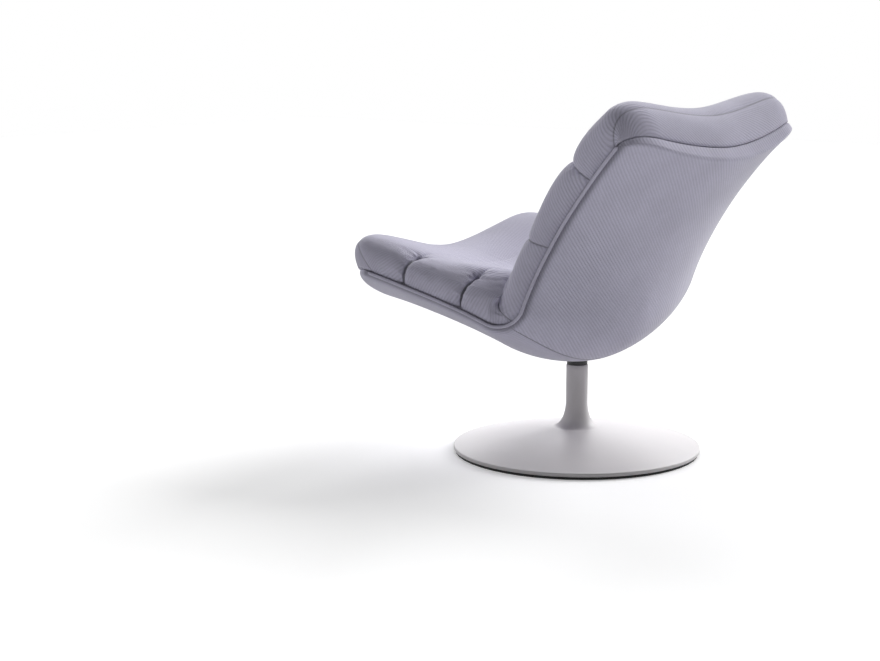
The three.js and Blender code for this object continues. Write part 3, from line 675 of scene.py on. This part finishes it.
def cushion_top(rows, turns, places):
    rows = np.asarray(rows, float)[:, None, :]
    across = section_of(turns)[None, :] + 0 * places
    rolled, rib, lean, sag, middle, side = (rows[..., k] for k in range(3, 9))
    up = np.abs(np.sin(np.asarray(turns, float)[None, :])) ** (2 / crown_power)
    height = rolled * up
    swell = np.where(rolled < 1, 4 * height * (1 - height), 0)
    reach = np.where(lean < 0, 0, head_lean) * lean * height
    reach = reach + np.sign(lean) * np.where(lean < 0, nose_bulge, head_bulge) * swell
    out = np.abs(across)
    valley = middle + (side - middle) * ease(out, *valley_side)
    bolster = bolster_height * ease(out, *bolster_inner) * (1 - ease(out, *bolster_outer))
    bolster = bolster * ease(places, *bolster_front) * (
        1 - bolster_loss * ease(places, *bolster_back)) * (1 - ease(places, *bolster_end))
    lift = (crown_at(places) + bolster) * height * (1 - valley * (1 - rib))
    pinch = valley / deepest_valley * (1 - rib)
    push = 4 * side_bulge * (1 - pinch) * rolled * up * (1 - up)
    return over_shell(places + reach - back_sag * sag * height, across, lift, push)


meeting_steps = 160
meeting_inner, meeting_outer = 0.15, 1.56
press_reach = 0.045


# Above the crease the bend is tighter than the padding is thick, so each cushion's last rib ends
# where the two tops meet. Where they would only draw near, they are pressed together
def first_meeting(seat_line, back_line):
    a, b = seat_line[:-1, None], back_line[None, :-1]
    run, rise = np.diff(seat_line, axis=0)[:, None], np.diff(back_line, axis=0)[None]
    gap = b - a
    turn = run[..., 0] * rise[..., 1] - run[..., 1] * rise[..., 0]
    turn = np.where(np.abs(turn) < 1e-16, np.nan, turn)
    on_seat = (gap[..., 0] * rise[..., 1] - gap[..., 1] * rise[..., 0]) / turn
    on_back = (gap[..., 0] * run[..., 1] - gap[..., 1] * run[..., 0]) / turn
    met = (on_seat >= 0) & (on_seat <= 1) & (on_back >= 0) & (on_back <= 1)
    i, j = np.nonzero(met)
    k = int(np.argmin(i - j)) if len(i) else -1
    return (i[k] + on_seat[i[k], j[k]], j[k] + on_back[i[k], j[k]]) if len(i) else None


def full_tops(places, turns, sagging):
    rows = [[0, 0, 0, 1, 1, 0, sagging * share, 0, 0] for share in np.linspace(0, 1, len(places))]
    return cushion_top(rows, turns, places)


def meeting_ends(turns):
    every_step = np.arange(meeting_steps + 1)
    seat_line = np.linspace(channel_places[1], crease, meeting_steps + 1)
    back_line = np.linspace(crease, channel_places[3], meeting_steps + 1)
    seat_tops = full_tops(seat_line[:, None] + 0 * turns[None, :], turns, 0)
    back_tops = full_tops(back_line[:, None] + 0 * turns[None, :], turns, 1)
    side = turns[:len(turns) // 2 + 1]
    ends = []
    for j, turn in enumerate(side):
        met = first_meeting(seat_tops[:-1, j, 1:], back_tops[1:, j, 1:])
        if met:
            ends.append((turn, np.interp(met[0], every_step, seat_line),
                         np.interp(met[1] + 1, every_step, back_line)))
    where, seat_end, back_start = np.array(ends).T
    share = ease(side, meeting_inner, where[0]) * (1 - ease(side, where[-1], meeting_outer))
    seat_end = crease + (np.interp(side, where, seat_end) - crease) * share
    back_start = crease + (np.interp(side, where, back_start) - crease) * share
    return (np.concatenate([seat_end, seat_end[-2::-1]]),
            np.concatenate([back_start, back_start[-2::-1]]))


def spaced_places(sagging, turns, low, high, shares):
    places = low + (high - low) * np.linspace(0, 1, meeting_steps + 1)[:, None]
    places = places + 0 * turns[None, :]
    run = run_down(full_tops(places, turns, sagging))
    return np.stack([np.interp(shares * run[-1, j], run[:, j], places[:, j])
                     for j in range(len(turns))], 1)


def press_to(points, end, target, reach):
    run = run_down(points)
    near = 1 - ease(np.abs(run - run[end]), 0, reach)
    return points + near[..., None] * (target - points[end])[None]


def normals_of(points):
    facing = np.cross(np.gradient(points, axis=0), np.gradient(points, axis=1))
    facing /= np.linalg.norm(facing, axis=2)[..., None] + 1e-12
    outward = facing[points.shape[0] // 2, points.shape[1] // 2]
    return facing if outward[2] - outward[1] > 0 else -facing


# The cover settles as cloth over the foam: a coarser copy, held along its edges and seams, is cut
# a little large and pressed outward, and its movement is carried back to the fine rows
cloth_spacing, cloth_frames, cloth_stiffness = 0.0085, 20, 0.8


def even_picks(line, held):
    run = run_down(line[:, None])[:, 0]
    wanted = np.linspace(0, run[-1], int(run[-1] / cloth_spacing) + 1)
    picks = np.abs(run[:, None] - wanted[None, :]).argmin(0)
    return np.unique(np.concatenate([picks, held]).astype(int))


def cloth_sheet(name, points, held):
    index = np.arange(held.size).reshape(held.shape)
    faces = np.stack([index[:-1, :-1], index[:-1, 1:], index[1:, 1:], index[1:, :-1]], -1)
    middle = (held.shape[0] // 2, held.shape[1] // 2)
    winding = np.cross(np.gradient(points, axis=1)[middle], np.gradient(points, axis=0)[middle])
    if normals_of(points)[middle] @ winding < 0:
        faces = faces[..., ::-1]
    mesh = bpy.data.meshes.new(name)
    mesh.from_pydata(points.reshape(-1, 3).tolist(), [], faces.reshape(-1, 4).tolist())
    cloth = bpy.data.objects.new(name, mesh)
    scene.collection.objects.link(cloth)
    cloth.vertex_groups.new(name="held").add(index[held].tolist(), 1.0, "REPLACE")
    return cloth


def settled(name, points, seam_rows, sewn_columns, pressure, slack, limit):
    rows = even_picks(points[:, points.shape[1] // 2], seam_rows)
    columns = even_picks(points[points.shape[0] // 2], [])
    coarse = points[np.ix_(rows, columns)]
    held = np.zeros(coarse.shape[:2], bool)
    held[[0, -1]], held[:, [0, -1]] = True, True
    held[np.ix_(np.isin(rows, seam_rows), sewn_columns[columns])] = True
    cloth = cloth_sheet(name, coarse, held)
    step = cloth.modifiers.new("settle", "CLOTH")
    step.settings.vertex_group_mass = "held"
    step.settings.use_pressure = True
    step.settings.uniform_pressure_force = pressure
    step.settings.shrink_min = -slack
    step.settings.bending_stiffness = cloth_stiffness
    step.settings.effector_weights.gravity = 0
    step.point_cache.frame_start, step.point_cache.frame_end = 1, cloth_frames
    for moment in range(1, cloth_frames + 1):
        scene.frame_set(moment)
    moved = np.zeros(coarse.size)
    graph = bpy.context.evaluated_depsgraph_get()
    cloth.evaluated_get(graph).data.vertices.foreach_get("co", moved)
    bpy.data.objects.remove(cloth)
    scene.frame_set(1)
    move = moved.reshape(coarse.shape) - coarse
    size = np.linalg.norm(move, axis=2)[..., None]
    move = move * np.minimum(1, limit / np.maximum(size, 1e-9))
    every_row, every_column = np.arange(points.shape[0]), np.arange(points.shape[1])
    move = np.apply_along_axis(lambda line: np.interp(every_column, columns, line), 1, move)
    return points + np.apply_along_axis(lambda line: np.interp(every_row, rows, line), 0, move)


side_degrees, side_count, roll_count, rib_steps = 54, 60, 46, 40
rim_degrees = [0.15, 0.4, 0.65]
side_turns = np.radians(np.linspace(0, side_degrees, side_count))
side_turns = np.sort(np.concatenate([side_turns, np.radians(rim_degrees)]))
flat_across = np.linspace(abs(math.cos(side_turns[-1])) ** (2 / side_power), 0, side_count)[1:]
half_turns = np.concatenate([side_turns, np.arccos(flat_across ** (side_power / 2))])
cushion_turns = np.concatenate([half_turns, math.pi - half_turns[::-1][1:]])
fine_roll = np.radians(np.linspace(0, 90, roll_count))
rib_shares = 0.5 - 0.5 * np.cos(np.linspace(0, math.pi, rib_steps + 1))


def turn_nearest(turns, degrees):
    return int(np.argmin(np.abs(turns - math.radians(degrees))))


fold_seed, fold_length, fold_waves, fold_pitches = 10, 0.022, 5, (0.7, 2.2)
fold_clearance, pleat_run, pleat_clearance = 0.004, 2.4, 0.5
sewn_blend, groove_parts, loose_pucker = 0.08, [(0.6, 0.0022), (0.9, 0.0095)], 0.3
# Reach of the painted shade along the sewn seams and along the side edges of a top
stitch_reach, edge_reach = 0.0016, 0.0024


def uneven_folds(x, seed):
    draw = np.random.default_rng(seed)
    pitches = draw.uniform(*fold_pitches, fold_waves)
    phases = draw.uniform(0, 2 * math.pi, fold_waves)
    waves = sum(np.sin(x * p * 2 * math.pi + q) for p, q in zip(pitches, phases))
    return waves / math.sqrt(fold_waves)


# Presses the seams and tufts into a top and gathers it beside them. A seam is its row, the depth
# of its groove, the height and reach of its gathers and the share of the width where it starts.
# A tuft's pit is its row and column, its depth and width, and the height and number of its pleats
def sew(points, seams, pits, sideways, across):
    facing, run = normals_of(points), run_down(points)
    depth = np.zeros(points.shape[:2])
    to_left, to_right = np.abs(sideways - sideways[:, :1]), np.abs(sideways - sideways[:, -1:])
    # Painted shade mask: near the side edges and along the sewn seams, where the velour colour is
    # darkened
    shade_mask = nearness(np.minimum(to_left, to_right), edge_reach)
    for k, (row, groove, pucker, reach, start) in enumerate(seams):
        away = np.abs(run - run[row])
        sewn = ease(np.abs(across), start, start + sewn_blend)
        depth -= groove * sewn * sum(part * nearness(away, width) for part, width in groove_parts)
        fold = uneven_folds(sideways / fold_length, fold_seed + k) * np.exp(-away / reach)
        gathered = pucker * (loose_pucker + (1 - loose_pucker) * sewn)
        depth += gathered * fold * (1 - nearness(away, fold_clearance))
        shade_mask = np.maximum(shade_mask, sewn * nearness(away, stitch_reach))
    for k, (row, column, deep, wide, pleat, petals) in enumerate(pits):
        down, over = run - run[row], sideways - sideways[row, column]
        radius = np.hypot(down, over)
        depth -= deep * nearness(radius, wide)
        fold = np.cos(petals * np.arctan2(down, over) + k) * np.exp(-radius / (pleat_run * wide))
        depth += pleat * fold * (1 - nearness(radius, pleat_clearance * wide))
    return points + facing * depth[..., None], shade_mask


nose_seam_degrees, pit_degrees, ridge_degrees = 56, 45, 40
whole_width, sewn_start, held_start = -1, 0.83, 0.85
front_lean, rear_lean, lean_change, ridge_blend = 60, 86, (0.36, 0.54), (-0.02, 0.03)
seat_rows = (nose_rows(fine_roll) + first_rows(np.linspace(0, 1, rib_steps + 1)[1:])
             + middle_rows(0, rib_shares[1:]) + middle_rows(1, rib_shares[1:]))
front_seam_row = roll_count + rib_steps - 1
rear_seam_row = front_seam_row + rib_steps
crease_row = len(seat_rows) - 1
nose_seam_row = turn_nearest(fine_roll, nose_seam_degrees)
seat_end, back_start = meeting_ends(cushion_turns)
flat = shell_places(seat_rows, cushion_turns)
along = flat.copy()
along[rear_seam_row:] = spaced_places(0, cushion_turns, channel_places[1], seat_end, rib_shares)
upper = cushion_top(seat_rows, cushion_turns, along)
meeting = (upper[-1] + cushion_top(middle_rows(2, [0.0]), cushion_turns, back_start[None])[0]) / 2
upper = press_to(upper, -1, meeting, press_reach)
flat[:, [0, -1]] = along[:, [0, -1]]
across = section_of(cushion_turns)[None, :] + 0 * along
lower = over_shell(flat, across)
sideways = length_across(upper)
pit_column = turn_nearest(cushion_turns, pit_degrees)
far_column = len(cushion_turns) - 1 - pit_column
seat_seams = [(nose_seam_row, 0.0008, 0.0, 0.01, whole_width),
              (front_seam_row, 0.0042, 0.0012, 0.018, sewn_start),
              (rear_seam_row, 0.0042, 0.0012, 0.018, sewn_start),
              (crease_row, 0.0, 0.0012, 0.030, whole_width)]
seat_pits = [(row, column, 0.006, 0.008, 0.0018, 7)
             for row in (front_seam_row, rear_seam_row) for column in (pit_column, far_column)]
upper = settled("seat_cloth", upper, [front_seam_row, rear_seam_row],
                np.abs(across[0]) > held_start, pressure=2.0, slack=0.004, limit=0.0016)
sewn, seam_shade_mask = sew(upper, seat_seams, seat_pits, sideways, across)
forward = length_along(upper, along, channel_places[0])
span = np.abs(sideways)
ridge = span[:, turn_nearest(cushion_turns, ridge_degrees)][:, None]
on_side = ease(span - ridge, *ridge_blend)
lean = np.radians(front_lean + (rear_lean - front_lean) * ease(flat, *lean_change))
panel_start = np.where(along < channel_places[0], 0, np.where(
    along < channel_places[1], channel_places[0], channel_places[1]))
rib_across = np.minimum(span, ridge) + np.cos(lean) * np.maximum(span - ridge, 0)
rib_across = rib_across + on_side * np.sin(lean) * (forward - panel_start)
weave = np.stack([rib_across * np.sign(sideways), forward], -1)
seat_cushion = piece_from_grids("seat_cushion_pad", sewn, lower, weave, {"seam": seam_shade_mask})
seat_cushion.data.materials.append(rib_velour)
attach(seat_cushion, "seat")
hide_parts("seat_cushion")


# Back cushion: the same padding up the back in three ribs, with a rolled head that carries a
# boxing seam round its top edge. Its ribs of velour run on the bias.
back_rows = (middle_rows(2, rib_shares) + middle_rows(3, rib_shares[1:])
             + last_rows(np.linspace(1, 0, rib_steps + 1)[1:-1]) + head_rows(fine_roll[::-1]))
back_rows[0][0] = crease + touch_gap
head_seam_degrees, cushion_bias = 40, (0.85, -0.53)
low_seam_row, high_seam_row = rib_steps, 2 * rib_steps
head_seam_row = len(back_rows) - 1 - turn_nearest(fine_roll, head_seam_degrees)
flat = shell_places(back_rows, cushion_turns)
along = flat.copy()
along[:low_seam_row + 1] = spaced_places(
    1, cushion_turns, back_start, channel_places[3], rib_shares)
upper = cushion_top(back_rows, cushion_turns, along)
upper = press_to(upper, 0, meeting + np.array([0, touch_gap, 0]), press_reach)
flat[:, [0, -1]] = along[:, [0, -1]]
across = section_of(cushion_turns)[None, :] + 0 * along
lower = over_shell(flat, across)
sideways = length_across(upper)
back_seams = [(0, 0.0, 0.0010, 0.030, whole_width),
              (low_seam_row, 0.0012, 0.0007, 0.014, whole_width),
              (high_seam_row, 0.0010, 0.0010, 0.016, whole_width),
              (head_seam_row, 0.0010, 0.0, 0.01, whole_width)]
upper = settled("back_cloth", upper, [low_seam_row, high_seam_row],
                np.full(len(cushion_turns), True), pressure=2.5, slack=0.0, limit=0.003)
sewn, seam_shade_mask = sew(upper, back_seams, [], sideways, across)
upward = length_along(upper, along, back_reference)
weave = on_the_bias(upward, sideways, *cushion_bias)
back_cushion = piece_from_grids("back_cushion_pad", sewn, lower, weave, {"seam": seam_shade_mask})
back_cushion.data.materials.append(rib_velour)
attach(back_cushion, "seat")
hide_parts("back_cushion")


# Foot cover: one spun steel trumpet, column, flare and shallow cone in one sheet, in a satin
# warm grey paint. Its rim stands on the rubber floor pad.
foot_radius, column_radius, column_top = 0.270, 0.0237, 0.193
shoulder_radius, shoulder_height, flare_top = 0.054, 0.055, 0.112
rim_low, rim_height, sheet = 0.0063, 0.008, 0.0026
rim_curve, rim_break, edge_break, rim_points = 0.0028, 0.0006, 0.0008, 9
cone_crown, flare_power = 0.003, 0.9
cone_points, flare_points, column_points, foot_steps = 40, 33, 8, 192


def foot_profile():
    rim_top = rim_low + rim_height
    outer = [(foot_radius - rim_break, rim_low), (foot_radius, rim_low + edge_break)]
    for turn in np.linspace(0, math.pi / 2, rim_points):
        outer.append((foot_radius - rim_curve * (1 - math.cos(turn)),
                      rim_top - rim_curve * (1 - math.sin(turn))))
    for share in np.linspace(0, 1, cone_points)[1:]:
        crown = 4 * cone_crown * share * (1 - share)
        start = foot_radius - rim_curve
        outer.append((start + (shoulder_radius - start) * share,
                      rim_top + (shoulder_height - rim_top) * share + crown))
    for turn in np.linspace(0, math.pi / 2, flare_points)[1:]:
        drawn_in = (shoulder_radius - column_radius) * math.sin(turn) ** flare_power
        outer.append((shoulder_radius - drawn_in,
                      flare_top - (flare_top - shoulder_height) * math.cos(turn)))
    for share in np.linspace(0, 1, column_points)[1:]:
        outer.append((column_radius, flare_top + (column_top - edge_break - flare_top) * share))
    outer.append((column_radius - edge_break, column_top))
    return outer


def turned_piece(name, profile, steps):
    turns = np.linspace(0, 2 * math.pi, steps + 1)[:-1]
    points = [(r * math.cos(t), r * math.sin(t), z) for r, z in profile for t in turns]
    faces = []
    rings = len(profile)
    for i in range(rings):
        low, high = i * steps, ((i + 1) % rings) * steps
        for j in range(steps):
            k = (j + 1) % steps
            faces.append((low + j, low + k, high + k, high + j))
    mesh = bpy.data.meshes.new(name)
    mesh.from_pydata(points, [], faces)
    mesh.polygons.foreach_set("use_smooth", [True] * len(mesh.polygons))
    made = bpy.data.objects.new(name, mesh)
    scene.collection.objects.link(made)
    return made


outside = foot_profile()
inside = []
for i, (r, z) in enumerate(outside):
    before, after = outside[max(i - 1, 0)], outside[min(i + 1, len(outside) - 1)]
    run = math.hypot(after[0] - before[0], after[1] - before[1])
    inside.append((r + (before[1] - after[1]) / run * sheet,
                   z + (after[0] - before[0]) / run * sheet))
inside[0] = (foot_radius - sheet, rim_low)
inside[-1] = (column_radius - sheet, column_top)
inside = [inside[0], *inside[rim_points:-2], inside[-1]]
foot = turned_piece("foot_trumpet", outside + inside[::-1], foot_steps)
satin_paint, tree, shader = new_material("satin_paint")
body = add_node(tree, "ShaderNodeTexCoord")
peel = add_node(tree, "ShaderNodeTexNoise", Scale=420.0, Detail=2.0)
tree.links.new(body.outputs["Object"], peel.inputs["Vector"])
bump = add_node(tree, "ShaderNodeBump", Strength=0.12, Distance=0.0003)
tree.links.new(peel.outputs[0], bump.inputs["Height"])
tree.links.new(bump.outputs[0], shader.inputs["Normal"])
cloud = add_node(tree, "ShaderNodeTexNoise", Scale=5.0, Detail=3.0)
tree.links.new(body.outputs["Object"], cloud.inputs["Vector"])
ramp = add_node(tree, "ShaderNodeValToRGB")
ramp.color_ramp.elements[0].position = 0.35
ramp.color_ramp.elements[0].color = (0.655, 0.634, 0.643, 1)
ramp.color_ramp.elements[1].position = 0.65
ramp.color_ramp.elements[1].color = (0.690, 0.667, 0.674, 1)
tree.links.new(cloud.outputs[0], ramp.inputs[0])
tree.links.new(ramp.outputs[0], shader.inputs["Base Color"])
rub = range_node(tree, cloud.outputs[0], 0.0, 1.0, 0.40, 0.52)
tree.links.new(rub, shader.inputs["Roughness"])
shader.inputs["Specular IOR Level"].default_value = 0.45
foot.data.materials.append(satin_paint)
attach(foot, "base")
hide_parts("foot_cover")


# Floor pad: a black rubber disc under the foot, set in a little from the painted rim.
def plain_finish(name, colour, roughness, metallic=0.0, grain=200.0, depth=0.0002, vary=0.12):
    made, tree, shader = new_material(name)
    body = add_node(tree, "ShaderNodeTexCoord")
    noise = add_node(tree, "ShaderNodeTexNoise", Scale=grain, Detail=3.0)
    tree.links.new(body.outputs["Object"], noise.inputs["Vector"])
    bump = add_node(tree, "ShaderNodeBump", Strength=0.3, Distance=depth)
    tree.links.new(noise.outputs[0], bump.inputs["Height"])
    tree.links.new(bump.outputs[0], shader.inputs["Normal"])
    ramp = add_node(tree, "ShaderNodeValToRGB")
    for element, change in zip(ramp.color_ramp.elements, (1 - vary, 1 + vary)):
        element.color = [min(c * change, 1) for c in colour] + [1]
    tree.links.new(noise.outputs[0], ramp.inputs[0])
    tree.links.new(ramp.outputs[0], shader.inputs["Base Color"])
    shader.inputs["Roughness"].default_value = roughness
    shader.inputs["Metallic"].default_value = metallic
    return made


def refinish(nodes, finish):
    for node in nodes:
        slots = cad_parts[node].data.materials
        slots.clear()
        slots.append(finish)


rubber = plain_finish("black_rubber", (0.012, 0.012, 0.013), 0.8)
refinish(["floor_pad"], rubber)


# Swivel: a moulded black collar and the steel spindle turn in two nylon bushes in the stem
# tube, on a nylon washer; a ring holds the spindle down. Only the collar shows.
black_plastic = plain_finish("black_plastic", (0.012, 0.012, 0.014), 0.5, grain=900.0)
nylon = plain_finish("nylon", (0.74, 0.71, 0.64), 0.55, grain=120.0, vary=0.04)
turned_steel = plain_finish("turned_steel", (0.40, 0.41, 0.43), 0.38, 0.9, 600.0, 0.0001)
refinish(["swivel_collar"], black_plastic)
refinish(["thrust_washer", "upper_bush", "lower_bush"], nylon)
refinish(["swivel_spindle", "retaining_ring", "stem_tube", "ballast_plate"], turned_steel)


# Shell core and its fixings: a moulded beech plywood shell, a steel plate under it, and four
# plated bolts in insert nuts. All of it is inside the upholstery.
plywood = plain_finish("beech_plywood", (0.46, 0.30, 0.17), 0.65, grain=60.0, depth=0.0004)
refinish(["shell_core"], plywood)
fixings = ["plate_bolt_%d", "insert_nut_%d"]
refinish(["mounting_plate"] + [name % (i + 1) for name in fixings for i in range(4)],
         turned_steel)
